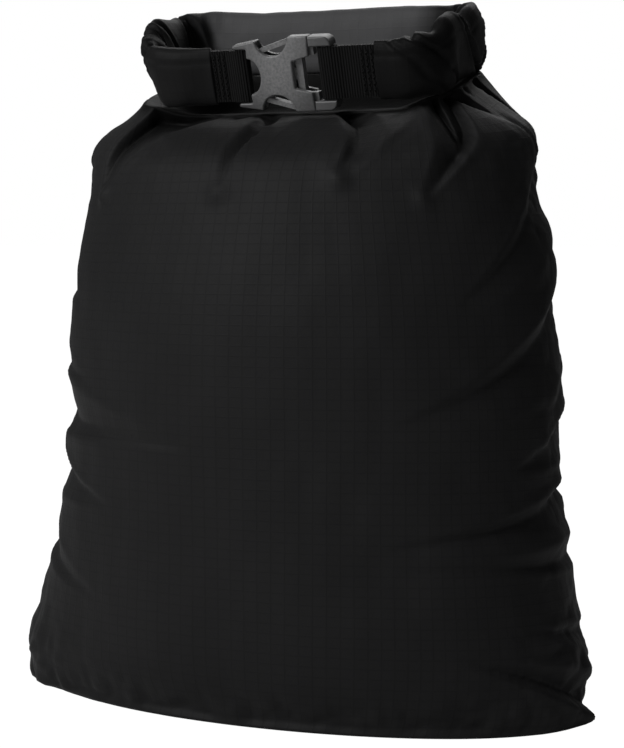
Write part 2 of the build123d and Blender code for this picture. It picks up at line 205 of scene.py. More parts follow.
def grid_faces(rows, columns, closed):
    """Quads of a grid, and the column and row of each face corner."""
    faces, corners = [], []
    last = columns if closed else columns - 1
    for r in range(rows - 1):
        for c in range(last):
            n = (c + 1) % columns
            faces.append((r * columns + c, r * columns + n, (r + 1) * columns + n, (r + 1) * columns + c))
            corners += [(c, r), (c + 1, r), (c + 1, r + 1), (c, r + 1)]
    return faces, corners


def set_points(obj, points):
    obj.data.vertices.foreach_set("co", np.asarray(points, dtype=np.float32).ravel())
    obj.data.update()


def get_points(mesh):
    points = np.empty(len(mesh.vertices) * 3, dtype=np.float32)
    mesh.vertices.foreach_get("co", points)
    return points.reshape(-1, 3).astype(float)


def get_normals(mesh):
    normals = np.empty(len(mesh.vertices) * 3, dtype=np.float32)
    mesh.vertex_normals.foreach_get("vector", normals)
    return normals.reshape(-1, 3).astype(float)


def keep_values(obj, name, values):
    """One number for each point, for a material or a later step to read."""
    obj.data.attributes.new(name, "FLOAT", "POINT").data.foreach_set("value", values)


def values_of(mesh, name):
    value = np.empty(len(mesh.vertices), dtype=np.float32)
    mesh.attributes[name].data.foreach_get("value", value)
    return value.astype(float)


def way_round(row):
    """Length of the closed line through a row of points."""
    return np.linalg.norm(row - np.roll(row, 1, axis=0), axis=1).sum()


# -------------------- the sack's form
def outer_surface(*names):
    """A ray-castable copy of some CAD nodes."""
    points, faces = [], []
    for name in names:
        mesh = nodes[name].data
        start = len(points)
        points += [v.co.copy() for v in mesh.vertices]
        faces += [[start + i for i in p.vertices] for p in mesh.polygons]
    return BVHTree.FromPolygons(points, faces)


shell = outer_surface("front_panel", "back_panel")
base_low, base_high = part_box("base_panel")
BASE_HALF = ((base_high[0] - base_low[0]) / 2, (base_high[1] - base_low[1]) / 2)


def wall_point(angle, z):
    """The CAD shell's outermost point in that direction, drawn in a little."""
    across = Vector((BASE_HALF[0] * cos(angle), BASE_HALF[1] * sin(angle), 0)).normalized()
    hit = shell.ray_cast(Vector((0, 0, z)) + across, -across)[0]
    return hit - across * CLOTH_INSET


def ring_outline(angle, grow):
    """A point on the ring's middle line, moved outwards by grow, for an angle round the sack."""
    half_x = RING_HALF_WIDTH + grow
    half_y = RING_HALF_DEPTH + grow
    power = 2 / 4.2
    x = half_x * abs(cos(angle)) ** power * (1 if cos(angle) >= 0 else -1)
    y = half_y * abs(sin(angle)) ** power * (1 if sin(angle) >= 0 else -1)
    return x, y


def buckle_room(x, y):
    """1 along the front, where the buckle hangs lower than the roll and slides, and 0 elsewhere."""
    if y > 0:
        return 0.0
    left = float(smooth(LEFT_END - 32 * MM, LEFT_END - 18 * MM, x))
    return left * (1 - float(smooth(RIGHT_END + 6 * MM, RIGHT_END + 18 * MM, x)))


def ease_shoulder(rows):
    """Rounds off the bend between the wall and the neck, most at the front and back."""
    first, last = FIRST_WALL_ROW + WALL_STEPS - EASED_BELOW, len(rows) - EASED_SHORT
    grid = np.array([[tuple(p) for p in row] for row in rows[first:last + 1]])
    angles = 2 * pi * np.arange(GIRTH_STEPS) / GIRTH_STEPS
    share = (0.5 * np.abs(np.sin(angles)) ** 3)[None, :, None]
    for _ in range(EASE_PASSES):
        grid[1:-1] += share * ((grid[:-2] + grid[2:]) / 2 - grid[1:-1])
    for row, eased in zip(rows[first:last + 1], grid):
        row[:] = [Vector(p) for p in eased]


def sack_rows():
    """Rows of points from the base's middle, up the wall, over the shoulder and under the roll."""
    angles = [2 * pi * c / GIRTH_STEPS for c in range(GIRTH_STEPS)]
    rows = []
    for share in BASE_ROWS:
        half_x, half_y = BASE_HALF[0] * share, BASE_HALF[1] * share
        rows.append([Vector((half_x * cos(a), half_y * sin(a), FLOOR_GAP)) for a in angles])
    low_z = 1.6 * MM
    high_z = RIM_Z - 1.0 * MM
    for step in range(WALL_STEPS):
        z = low_z + (high_z - low_z) * step / (WALL_STEPS - 1)
        rows.append([wall_point(a, z) for a in angles])
    rim, below = rows[-1], rows[-3]
    shoulder_rows = [[] for _ in range(NECK_STEPS)]
    for c, a in enumerate(angles):
        x, y = ring_outline(a, ROLL_THICK * 0.30)
        dip = buckle_room(x, y)
        top = from_ring(x, y + BUCKLE_ROOM * dip, -ROLL_HALF + TUCK - BUCKLE_ROOM * dip)
        inwards = (top - rim[c]) * Vector((1, 1, 0)).normalized().length
        leave = (rim[c] - below[c]).normalized() * (top - rim[c]).length * 1.15
        arrive = Vector((inwards.x, inwards.y, 0)) * 0.35 + RING_UP * (top - rim[c]).length * 0.55
        for step in range(NECK_STEPS):
            t = (step + 1) / NECK_STEPS
            h0 = 2 * t**3 - 3 * t**2 + 1
            h1 = t**3 - 2 * t**2 + t
            h2 = -2 * t**3 + 3 * t**2
            h3 = t**3 - t**2
            shoulder_rows[step].append(rim[c] * h0 + leave * h1 + top * h2 + arrive * h3)
    rows += shoulder_rows
    ease_shoulder(rows)
    for grow, fall in HOLLOW_ROWS:
        row = []
        for a in angles:
            x, y = ring_outline(a, ROLL_THICK * grow)
            dip = buckle_room(x, y)
            row.append(from_ring(x, y, -ROLL_HALF - max(fall * MM, BUCKLE_ROOM * dip)))
        rows.append(row)
    for share in (0.5, 0.25):
        row = []
        for a in angles:
            x, y = ring_outline(a, -ROLL_THICK * 1.6)
            row.append(from_ring(x * share, y * share, -ROLL_HALF - HOLLOW_ROWS[-1][1] * MM))
        rows.append(row)
    return rows


# Folds of the cloth, as (start angle, start height, tip angle, tip height, half width at the start,
# depth, skew), in degrees round the sack from +X and millimetres. Each is a three-cornered valley,
# widest and deepest at its start. The skew, from -1 to 1, moves its deepest line to one side.
GATHERS = [
    # below the roll, from the front left round to the right, and then the back
    (-131, 243, -135, 203, 22, 10, 0.7),
    (-100, 241, -116, 230, 7, 5, 0.2),
    (-97, 241, -97, 203, 7.5, 6, -0.5),
    (-50, 242, -69, 207, 12, 8.5, 0.5),
    (-33, 243, -37, 218, 8, 6.5, -0.45),
    (-35, 225, -50, 200, 9, 5.5, -0.55),
    (-20, 242, 0, 226, 9, 6, 0.3),
    (-8, 244, 6, 212, 8, 2.5, 0.2),
    (10, 254, 18, 212, 10, 5.5, -0.2),
    (34, 258, 42, 226, 14, 6, 0.3),
    (56, 260, 60, 208, 12, 6.5, 0.2),
    (78, 260, 76, 230, 8, 4.5, -0.3),
    (98, 260, 92, 210, 11, 6.5, 0.35),
    (118, 260, 116, 228, 8, 4.5, 0.2),
    (140, 258, 134, 208, 18, 7, -0.35),
    (162, 254, 160, 224, 8, 4.5, 0.2),
    (176, 252, 174, 206, 10, 5.5, 0.35),
    (-166, 250, -168, 218, 8, 4.5, 0.3),
]
SLACK_FOLDS = [
    # the left flank
    (-154, 119, -100, 107, 13, 5, 0.45),
    (-158, 92, -121, 80, 10, 4.4, -0.5),
    (-170, 142, -132, 130, 9, 3, 0.45),
    (-165, 66, -124, 44, 9, 3, 0.3),
    (-168, 172, -138, 160, 10, 2.4, 0.4),
    # the right flank
    (6, 84, -62, 70, 11, 5.2, 0.45),
    (6, 66, -60, 63, 6, 3, -0.4),
    (2, 148, -60, 114, 17, 4.4, 0.5),
    (10, 112, -30, 98, 9, 3.2, 0.4),
    (6, 200, -44, 158, 15, 3.2, 0.5),
    (2, 13, -45, 30, 9, 8, -0.35),
    (10, 34, -28, 40, 6, 3.4, 0.4),
    # the back, less full
    (170, 124, 118, 102, 13, 4.4, 0.45),
    (168, 86, 108, 62, 13, 4.4, -0.45),
    (20, 98, 70, 76, 13, 4.4, 0.45),
    (24, 150, 72, 128, 13, 3.4, -0.45),
    (158, 14, 112, 20, 9, 4.4, 0.3),
    (30, 12, 72, 18, 9, 4.4, -0.3),
]
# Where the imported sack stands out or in: angle, height, spread in degrees, spread and move in mm.
BULGES = [
    (178, 229, 24, 13, 6.5),
    (2, 228, 22, 13, 4),
    (0, 188, 26, 40, 2.5),
    (0, 130, 26, 70, 2),
    (-158, 6, 26, 22, 9.5),
    (-4, 6, 22, 8, 5),
    (178, 34, 26, 34, 3),
    (-4, 48, 24, 16, -3),
    (-12, 12, 20, 14, 2),
]
# Where the cloth is crumpled: angle, height, spread in degrees, spread and depth in mm.
CRUMPLES = [
    (-168, 12, 34, 22, 3.4),
    (-8, 14, 34, 26, 3.4),
    (90, 8, 70, 14, 2.8),
    (-90, 5, 80, 8, 3),
    (180, 96, 26, 60, 2.2),
    (4, 110, 30, 70, 2.2),
    (176, 214, 30, 26, 2.2),
    (2, 214, 30, 26, 2.2),
    (90, 150, 70, 80, 1.3),
]


def turn_from(angle, place):
    """Degrees from a place round the sack, from -180 to 180."""
    return (np.degrees(angle) - place + 180) % 360 - 180


def folds(angle, z, girth_radius):
    """How far the folds draw the cloth in at each point."""
    total = np.zeros_like(z)
    for gather, listed in ((True, GATHERS), (False, SLACK_FOLDS)):
        for a0, z0, a1, z1, width, depth, skew in listed:
            across = np.radians(turn_from(angle, a0)) * girth_radius
            run = np.array([np.radians(a1 - a0) * girth_radius, (z1 - z0) * MM])
            length = float(np.hypot(*run))
            along = (across * run[0] + (z - z0 * MM) * run[1]) / length**2
            side = (across * run[1] - (z - z0 * MM) * run[0]) / length
            left = np.clip(1 - along, 0, 1.15)
            q = side / (width * MM * (0.22 + 0.78 * left))
            tent = np.minimum((q + 1) / (1 + skew), (1 - q) / (1 - skew))
            valley = np.sqrt(np.clip(tent, 0, 1) ** 2 + 0.004) - 0.063
            lip = 0.08 * np.exp(-(((np.abs(q) - 1.12) / 0.28) ** 2))
            begin = 1.0 if gather else smooth(-0.45, 0.05, along)
            strength = np.minimum(left, 1.0) ** 0.75 * begin
            tip = 0.22 * np.exp(-(((along - 1.06) * length / (3.5 * MM)) ** 2) - (side / (4.0 * MM)) ** 2)
            total += depth * MM * (strength * (valley - lip) - gather * tip * (along < 1.6))
    return total


def spread_over(places, angle, z):
    """Sum of soft round patches, each given by a place, a size and a height."""
    total = np.zeros_like(z)
    for a0, z0, wide, high, size in places:
        away = (turn_from(angle, a0) / wide) ** 2
        total += size * MM * np.exp(-away - ((z - z0 * MM) / (high * MM)) ** 2)
    return total


def crumple(points, size, seed):
    """Sharp creases between flat facets, from 0 in a facet's middle to 1 on a crease."""
    offset = Vector((seed * 2.3, seed * 4.1, seed * 1.7))
    nearest = [noise.voronoi(Vector(p) / size + offset)[0] for p in points]
    return np.clip(np.array([n[1] - n[0] for n in nearest]), 0, 1)


def soft_noise(points, size, seed):
    """Smooth noise from -1 to 1 at each point."""
    offset = Vector((seed * 3.7, seed * 1.9, seed * 5.3))
    return np.array([noise.noise(Vector(p) / size + offset) for p in points])


def build_sack():
    """Base, wall and neck as one closed grid, with the row of each point kept as an attribute."""
    rows = sack_rows()
    count = GIRTH_STEPS
    ring_rows = len(rows)
    points = [p for row in rows for p in row]
    faces, corners = grid_faces(ring_rows, count, True)
    bottom, top = len(points), len(points) + 1
    points += [Vector((0, 0, FLOOR_GAP)), from_ring(0, 0, -ROLL_HALF - HOLLOW_ROWS[-1][1] * MM)]
    start = (ring_rows - 1) * count
    for c in range(count):
        n = (c + 1) % count
        faces.append((bottom, n, c))
        corners += [(c + 0.5, 0), (c + 1, 0), (c, 0)]
        faces.append((top, start + c, start + n))
        corners += [(c + 0.5, ring_rows), (c, ring_rows - 1), (c + 1, ring_rows - 1)]

    girth = float(way_round(np.array(rows[FIRST_WALL_ROW + WALL_STEPS // 2])))
    front = [np.array(row[count * 3 // 4]) for row in rows]
    heights = np.concatenate([[0], np.cumsum([np.linalg.norm(b - a) for a, b in zip(front, front[1:])])])
    heights = np.append(heights, heights[-1] + 0.01)
    uvs = [(c / count * girth / RIPSTOP_PITCH, heights[r] / RIPSTOP_PITCH) for c, r in corners]

    sack = make_mesh("sack_whole", points, faces, uvs)
    row_numbers = [float(i // count) for i in range(ring_rows * count)] + [0.0, float(ring_rows)]
    keep_values(sack, "row", row_numbers)
    return sack, ring_rows


def simulate(sack, ring_rows):
    """Lets the cloth swell and pucker, then keeps the result as plain points."""
    count = GIRTH_STEPS
    start = get_points(sack.data)
    first_wall, last_wall = FIRST_WALL_ROW, FIRST_WALL_ROW + WALL_STEPS
    held_top = last_wall + NECK_STEPS - 2

    sack.shape_key_add(name="Basis")
    cut = sack.shape_key_add(name="cut")
    flat = start.copy()
    grid = flat[: ring_rows * count].reshape(ring_rows, count, 3)
    loose_from = last_wall - LOOSE_BELOW
    widest = way_round(grid[loose_from])
    for r in range(first_wall, ring_rows):
        row = grid[r]
        centre = row.mean(axis=0)
        wanted = LOOSE
        if r >= loose_from:
            wanted = max(LOOSE, min(LOOSEST, widest / way_round(row)))
        grid[r] = centre + (row - centre) * wanted
    cut.data.foreach_set("co", flat.astype(np.float32).ravel())

    hold = sack.vertex_groups.new(name="hold")
    rows_held = list(range(0, first_wall + 1)) + list(range(held_top, ring_rows))
    held = [r * count + c for r in rows_held for c in range(count)]
    hold.add(held + [ring_rows * count, ring_rows * count + 1], 1.0, "REPLACE")

    cloth = sack.modifiers.new("cloth", "CLOTH")
    s = cloth.settings
    s.quality = 6
    s.mass = 0.15
    s.tension_stiffness = 25
    s.compression_stiffness = 25
    s.shear_stiffness = 8
    s.bending_stiffness = 1.2
    s.tension_damping = 8
    s.compression_damping = 8
    s.air_damping = 2
    s.use_pressure = True
    s.uniform_pressure_force = 5.0
    s.vertex_group_mass = "hold"
    s.rest_shape_key = cut
    s.effector_weights.gravity = 0
    cloth.collision_settings.use_collision = False
    scene = bpy.context.scene
    scene.frame_start, scene.frame_end = 1, SIM_FRAMES
    cloth.point_cache.frame_start, cloth.point_cache.frame_end = 1, SIM_FRAMES
    for f in range(1, SIM_FRAMES + 1):
        scene.frame_set(f)
    settled = sack.evaluated_get(bpy.context.evaluated_depsgraph_get())
    moved = get_points(settled.to_mesh())
    settled.to_mesh_clear()
    scene.frame_set(1)
    sack.modifiers.clear()
    sack.shape_key_clear()
    step = moved - start
    far = np.linalg.norm(step, axis=1, keepdims=True)
    step *= np.minimum(1.0, SWELL_LIMIT * np.tanh(far / SWELL_LIMIT) / np.maximum(far, 1e-9))
    set_points(sack, start + step)


def refine(sack):
    """One level of subdivision, kept as plain points."""
    sack.modifiers.new("fine", "SUBSURF").levels = 1
    mesh = bpy.data.meshes.new_from_object(sack.evaluated_get(bpy.context.evaluated_depsgraph_get()))
    sack.modifiers.clear()
    sack.data = mesh


def sculpted(points, normals, row):
    """The folds, puckers and slack of a packed sack, drawn into its cloth, with painted shade for the deep
    folds and a painted shadow under the roll.
    """
    angle = np.arctan2(points[:, 1] / BASE_HALF[1], points[:, 0] / BASE_HALF[0])
    z = points[:, 2]
    girth_radius = sqrt((BASE_HALF[0] ** 2 + BASE_HALF[1] ** 2) / 2)
    on_wall = smooth(0.3 * MM, 4 * MM, z)
    top_row = FIRST_WALL_ROW + WALL_STEPS + NECK_STEPS
    under_roll = 1 - smooth(top_row - 3, top_row - 1, row)
    out = 0.8 * MM * soft_noise(points * [1, 1, 0.7], 34 * MM, 1)
    out += 0.3 * MM * soft_noise(points * [1.4, 1.4, 0.6], 13 * MM, 2)
    edge = np.exp(-(((z - 7 * MM) / (7 * MM)) ** 2))
    out += edge * 0.9 * MM * soft_noise(points * [1, 1, 0.35], 6 * MM, 3)
    patches = spread_over(CRUMPLES, angle, z)
    out -= patches * (1 - crumple(points * [1, 1, 1.3], 19 * MM, 4)) * 0.8
    out -= patches * (1 - crumple(points * [1, 1, 1.2], 9 * MM, 5)) * 0.3
    out += spread_over(BULGES, angle, z)
    sunk = folds(angle, z, girth_radius)
    out -= sunk
    clear_of_roll = 1 - smooth(top_row - 16, top_row - 7, row)
    out = np.where(out > 0, out * clear_of_roll, out)
    way = normals * [1, 1, 0.35]
    way /= np.maximum(np.linalg.norm(way, axis=1, keepdims=True), 1e-6)
    # painted shade: the colour darkens with each fold's depth, and a painted shadow darkens the rows just
    # under the roll
    shaded = np.clip(sunk / (4.5 * MM), 0, 1) ** 1.1 * smooth(top_row - 30, top_row - 14, row)
    shaded = np.maximum(shaded, smooth(top_row - 6, top_row - 2, row))
    return points + way * (out * on_wall * under_roll)[:, None], shaded


def level_rim(points, row):
    """Brings the shoulder line to one height, so that both pieces cut there move together."""
    angle = np.arctan2(points[:, 1] / BASE_HALF[1], points[:, 0] / BASE_HALF[0])
    on_line = np.abs(row - RIM_ROW) < 0.01
    order = np.argsort(angle[on_line])
    level = float(points[on_line, 2].mean())
    miss = level - points[on_line, 2][order]
    change = np.interp(angle, angle[on_line][order], miss, period=2 * pi)
    points[:, 2] += change * np.exp(-(((row - RIM_ROW) / 5) ** 2))
    points[on_line, 2] = level
    return level


def cut_at(sack, split_row):
    """The finished cloth as a lower and an upper piece that match exactly, each closed inside."""
    mesh = sack.data
    points, normals, row = get_points(mesh), get_normals(mesh), values_of(mesh, "row")
    painted_shade = values_of(mesh, "painted_shade")
    uv_layer = mesh.uv_layers["cloth"].data
    pieces = []
    for name, lower in (("sack_cloth", True), ("neck_cloth", False)):
        used, faces, uvs, border = {}, [], [], {}
        for polygon in mesh.polygons:
            ids = list(polygon.vertices)
            middle = sum(row[i] for i in ids) / len(ids)
            if (middle < split_row) != lower:
                continue
            faces.append([used.setdefault(i, len(used)) for i in ids])
            uvs += [tuple(uv_layer[k].uv) for k in polygon.loop_indices]
            for a, b in zip(ids, ids[1:] + ids[:1]):
                if abs(row[a] - split_row) < 0.01 and abs(row[b] - split_row) < 0.01:
                    border[a] = b
        order = sorted(used, key=used.get)
        piece_points = [Vector(points[i]) for i in order]
        piece_normals = [tuple(normals[i]) for i in order]
        centre = len(piece_points)
        piece_points.append(sum((Vector(points[i]) for i in border), Vector()) / len(border))
        piece_normals.append((0, 0, 1 if lower else -1))
        for a, b in border.items():
            faces.append([used[b], used[a], centre])
            uvs += [(0, 0)] * 3
        piece = make_mesh(name, piece_points, faces, uvs)
        piece.data.normals_split_custom_set_from_vertices(piece_normals)
        keep_values(piece, "painted_shade", np.append(painted_shade[order], 0.0))
        pieces.append(piece)
    bpy.data.objects.remove(sack)
    return pieces


def lining_strip(name, points, normals, rows, columns):
    """A taped seam on the inside of the finished sack, along a patch of its grid."""
    ids = [[r * GIRTH_STEPS + c % GIRTH_STEPS for c in columns] for r in rows]
    closed = len(columns) == GIRTH_STEPS
    patch = [points[i] - normals[i] * TAPE_INSET for row in ids for i in row]
    faces, corners = grid_faces(len(rows), len(columns), closed)
    tape = make_mesh(name, patch, faces, [(c * 0.4, r * 0.4) for c, r in corners])
    thick = tape.modifiers.new("thickness", "SOLIDIFY")
    thick.thickness = 0.4 * MM
    thick.offset = -1
    return tape


def build_load(rows):
    """The folded clothes inside, a lumpy block well clear of the cloth."""
    picked = rows[FIRST_WALL_ROW + 1:FIRST_WALL_ROW + WALL_STEPS:3]
    middle = Vector((0, 0, 0))
    points = []
    for row in picked:
        for p in row[::4]:
            middle.z = p.z
            points.append(p + (middle - p).normalized() * LOAD_INSET)
    count = GIRTH_STEPS // 4
    faces, corners = grid_faces(len(picked), count, True)
    faces.append(tuple(reversed(range(count))))
    faces.append(tuple(range(len(points) - count, len(points))))
    uvs = [(c * 0.1, r * 0.1) for c, r in corners] + [(0, 0)] * (2 * count)
    load = make_mesh("packed_clothes", points, faces, uvs)
    normals = get_normals(load.data)
    lumps = 1.6 * MM * soft_noise(np.array([tuple(p) for p in points]), 26 * MM, 9)
    set_points(load, get_points(load.data) + normals * lumps[:, None])
    return load


whole, ring_rows = build_sack()
simulate(whole, ring_rows)
coarse_normals = get_normals(whole.data)
coarse_points = sculpted(get_points(whole.data), coarse_normals, values_of(whole.data, "row"))[0]
refine(whole)
fine_rows = values_of(whole.data, "row")
finished, painted_sack_shade = sculpted(get_points(whole.data), get_normals(whole.data), fine_rows)
CUT_Z = level_rim(finished, fine_rows)
set_points(whole, finished)
# the painted shade of the folds and under the roll, for the cloth's material
keep_values(whole, "painted_shade", painted_sack_shade)
sack, neck = cut_at(whole, RIM_ROW)

lining = (coarse_points, coarse_normals)
base_rows = range(FIRST_WALL_ROW, FIRST_WALL_ROW + 4)
wall_rows = range(FIRST_WALL_ROW + 4, RIM_ROW)
half = GIRTH_STEPS // 2
base_tape = lining_strip("base_tape", *lining, base_rows, range(GIRTH_STEPS))
side_tape_right = lining_strip("side_tape_right", *lining, wall_rows, range(-2, 3))
side_tape_left = lining_strip("side_tape_left", *lining, wall_rows, range(half - 2, half + 3))
packed_load = build_load(sack_rows())


# -------------------- the rolled mouth
def roll_path():
    """Points and outward directions along the roll's middle line, from the left end to the right."""
    line = []
    corners = [(-1, -1, 270), (-1, 1, 180), (1, 1, 90), (1, -1, 0)]

    def straight(a, b, outward):
        length = sqrt((b[0] - a[0]) ** 2 + (b[1] - a[1]) ** 2)
        steps = ceil(length / ROLL_STEP)
        for i in range(steps):
            t = i / steps
            line.append((a[0] + (b[0] - a[0]) * t, a[1] + (b[1] - a[1]) * t, *outward))

    def bend(sx, sy, begin):
        steps = ceil(pi / 2 * BEND_RADIUS / ROLL_STEP)
        for i in range(steps):
            turn = radians(begin - 90 * i / steps)
            x = sx * straight_x + BEND_RADIUS * cos(turn)
            y = sy * straight_y + BEND_RADIUS * sin(turn)
            line.append((x, y, cos(turn), sin(turn)))

    straight((LEFT_END, -RING_HALF_DEPTH), (-straight_x, -RING_HALF_DEPTH), (0, -1))
    bend(*corners[0])
    straight((-RING_HALF_WIDTH, -straight_y), (-RING_HALF_WIDTH, straight_y), (-1, 0))
    bend(*corners[1])
    straight((-straight_x, RING_HALF_DEPTH), (straight_x, RING_HALF_DEPTH), (0, 1))
    bend(*corners[2])
    straight((RING_HALF_WIDTH, straight_y), (RING_HALF_WIDTH, -straight_y), (1, 0))
    bend(*corners[3])
    straight((straight_x, -RING_HALF_DEPTH), (RIGHT_END, -RING_HALF_DEPTH), (0, -1))
    line.append((RIGHT_END, -RING_HALF_DEPTH, 0, -1))
    return line


def humps(listed, s):
    """Sum of soft humps along the roll, in metres."""
    return sum(size * MM * exp(-(((s / MM - at) / spread) ** 2)) for at, spread, size in listed)


def roll_form(line, length):
    """The rolled cloth's smooth form: its section at each step of the line, drawn in, lifted or leaning."""
    count, sides = len(line), ROLL_SIDES
    points = np.zeros((count, sides, 3))
    for i, (x, y, nx, ny) in enumerate(line):
        s = i * ROLL_STEP
        to_end = min(s, length - s)
        flat = 0.50 + 0.50 * float(smooth(0.0, 14 * MM, to_end))
        half_thick = ROLL_THICK / 2 * flat
        half_high = ROLL_HALF * (0.93 + 0.07 * float(smooth(4 * MM, 26 * MM, to_end)))
        tuck, lift, pull = humps(TUCKS, s), humps(LIFTS, s), humps(PULLS, s)
        rear = float(smooth(REAR_START - 12 * MM, REAR_START + 14 * MM, s))
        rear *= 1 - float(smooth(length - REAR_START - 14 * MM, length - REAR_START + 12 * MM, s))
        for k in range(sides):
            turn = 2 * pi * k / sides
            c, w = cos(turn), sin(turn)
            depth = half_thick * abs(c) ** 0.85 * (1 if c >= 0 else -1)
            up = half_high * abs(w) ** 0.75 * (1 if w >= 0 else -1)
            low = (1 - up / half_high) / 2
            depth -= pull + tuck * low + rear * REAR_OPEN * (low - 0.35)
            up += lift * (1 - low)
            points[i, k] = from_ring(x + nx * depth, y + ny * depth, up)
    return points.reshape(-1, 3)


def roll_relief(line, flat_points, along, turn):
    """How far the crushed bends, the creases and the free edge of the cloth stand out or in."""
    bends = np.array([abs(nx) * abs(ny) * 2 for _, _, nx, ny in line])
    kernel = np.ones(13) / 13
    bends = np.convolve(np.pad(bends, 6, mode="edge"), kernel, mode="valid")
    crush = np.repeat(bends, ROLL_SIDES)
    inner = smooth(0.2, -0.9, np.cos(turn))
    ripple = np.sin(along / (2.1 * MM) + 1.6 * np.sin(turn) + 2.5 * np.sin(along / (17 * MM)))
    push = crush * (0.25 + 0.75 * inner) * 1.1 * MM * ripple
    push += crush * 1.0 * MM * soft_noise(flat_points, 9 * MM, 5)
    push += 0.55 * MM * soft_noise(flat_points, 22 * MM, 6)
    push += 0.25 * MM * soft_noise(flat_points, 7 * MM, 7)
    high = np.sin(turn)
    for at, slant, width, depth, side in CREASES:
        q = np.abs(along - (at + slant * high) * MM) / (width * MM)
        facing = smooth(-0.5, 0.5, np.cos(turn) * side) if side else 1.0
        push -= depth * MM * facing * (np.clip(1 - q, 0, 1) - 0.2 * np.exp(-(((q - 1.2) / 0.4) ** 2)))
    lap = np.exp(-(((np.sin(turn) - 0.42) / 0.055) ** 2)) * (np.cos(turn) > 0)
    push -= 0.55 * MM * lap
    lap_in = np.exp(-(((np.sin(turn) + 0.30) / 0.055) ** 2)) * (np.cos(turn) < 0)
    push -= 0.40 * MM * lap_in
    return push


def build_roll():
    """The whole roll as one grid, cut into a rear, a left and a right piece that match exactly."""
    line = roll_path()
    count, sides = len(line), ROLL_SIDES
    length = (count - 1) * ROLL_STEP
    along = np.repeat(np.arange(count) * ROLL_STEP, sides)
    turn = np.tile(2 * pi * np.arange(sides) / sides, count)
    flat_points = roll_form(line, length)
    whole = make_mesh("roll_whole", flat_points, grid_faces(count, sides, True)[0])
    relief = roll_relief(line, flat_points, along, turn)
    shaped = flat_points + get_normals(whole.data) * relief[:, None]
    set_points(whole, shaped)
    normals = get_normals(whole.data)
    bpy.data.objects.remove(whole)

    grid = shaped.reshape(count, sides, 3)
    normal_grid = normals.reshape(count, sides, 3)
    rear = [i for i, p in enumerate(line) if abs(p[0]) <= straight_x and p[1] > 0]
    first, last = rear[0], rear[-1]
    rear_span = smooth(REAR_START - 16 * MM, REAR_START + 4 * MM, along)
    rear_span *= 1 - smooth(length - REAR_START - 2 * MM, length - REAR_START + 14 * MM, along)
    # painted light: the rear roll's inner face is made pale where the light falls on it
    painted_light = (rear_span * smooth(0.15, -0.25, np.cos(turn))).reshape(count, sides)
    # painted shade: the whole roll is darkened, more towards the right arm's end
    painted_roll_shade = (0.55 + 0.30 * smooth(length - REAR_START, length - 36 * MM, along)).reshape(count, sides)
    girth = 2 * (ROLL_HALF * 2 + ROLL_THICK)
    result = []
    for name, low, high in (("left", 0, first), ("rear", first, last), ("right", last, count - 1)):
        rows = grid[low:high + 1]
        piece_points = [Vector(p) for p in rows.reshape(-1, 3)]
        piece_faces, piece_corners = grid_faces(high - low + 1, sides, True)
        uvs = [
            ((low + r) * ROLL_STEP / RIPSTOP_PITCH, c / sides * girth / RIPSTOP_PITCH)
            for c, r in piece_corners
        ]
        piece_normals = normal_grid[low:high + 1].reshape(-1, 3)
        for row, way in ((0, 1), (high - low, -1)):
            hidden = name == "rear" or (name == "left") == (row != 0)
            previous = [row * sides + k for k in range(sides)]
            centre = rows[row].mean(axis=0)
            ahead = rows[row].mean(axis=0) - rows[row + way].mean(axis=0)
            ahead /= np.linalg.norm(ahead)
            for ringlet in range(1, CAP_RINGS + 1):
                share = 1 - ringlet / (CAP_RINGS + 0.6)
                bulge = -1.5 * MM if hidden else 0.9 * MM * sin(pi / 2 * ringlet / CAP_RINGS)
                fresh = []
                for k in range(sides):
                    fresh.append(len(piece_points))
                    piece_points.append(Vector(centre + (rows[row][k] - centre) * share + ahead * bulge))
                    piece_normals = np.vstack([piece_normals, ahead])
                for k in range(sides):
                    n = (k + 1) % sides
                    quad = (previous[k], previous[n], fresh[n], fresh[k])
                    piece_faces.append(tuple(reversed(quad)) if way > 0 else quad)
                    uvs += [(0, 0)] * 4
                previous = fresh
            middle = len(piece_points)
            piece_points.append(Vector(centre + ahead * bulge))
            piece_normals = np.vstack([piece_normals, ahead])
            for k in range(sides):
                n = (k + 1) % sides
                triangle = (previous[k], previous[n], middle)
                piece_faces.append(tuple(reversed(triangle)) if way > 0 else triangle)
                uvs += [(0, 0)] * 3
        piece = make_mesh(f"roll_cloth_{name}", piece_points, piece_faces, uvs)
        piece.data.normals_split_custom_set_from_vertices([tuple(n) for n in piece_normals])
        shown = np.zeros(len(piece_points))
        shown[:rows.shape[0] * sides] = painted_light[low:high + 1].ravel()
        keep_values(piece, "painted_light", shown)
        # painted shade on the roll, left off where the painted light is laid
        dim = np.zeros(len(piece_points))
        dim[:rows.shape[0] * sides] = painted_roll_shade[low:high + 1].ravel()
        keep_values(piece, "painted_shade", dim * (1 - shown))
        result.append(piece)
    return result


def build_strip():
    """The stiff strip inside the roll's rear and sides, along the same line and with the same tucks."""
    line = roll_path()
    first, last = STRIP_START, len(line) - STRIP_START
    points = []
    for i in range(first, last):
        x, y, nx, ny = line[i]
        tuck, pull = humps(TUCKS, i * ROLL_STEP), humps(PULLS, i * ROLL_STEP)
        for thick, high in ((1, 1), (1, -1), (-1, -1), (-1, 1)):
            depth = thick * STRIP_HALF[0] - pull - tuck * (1 - high) / 2
            points.append(from_ring(x + nx * depth, y + ny * depth, high * STRIP_HALF[1]))
    faces = grid_faces(last - first, 4, True)[0]
    faces += [(3, 2, 1, 0), tuple(range(len(points) - 4, len(points)))]
    return make_mesh("stiffener_strip", points, faces)


roll_left, roll_rear, roll_right = build_roll()
stiffener = build_strip()


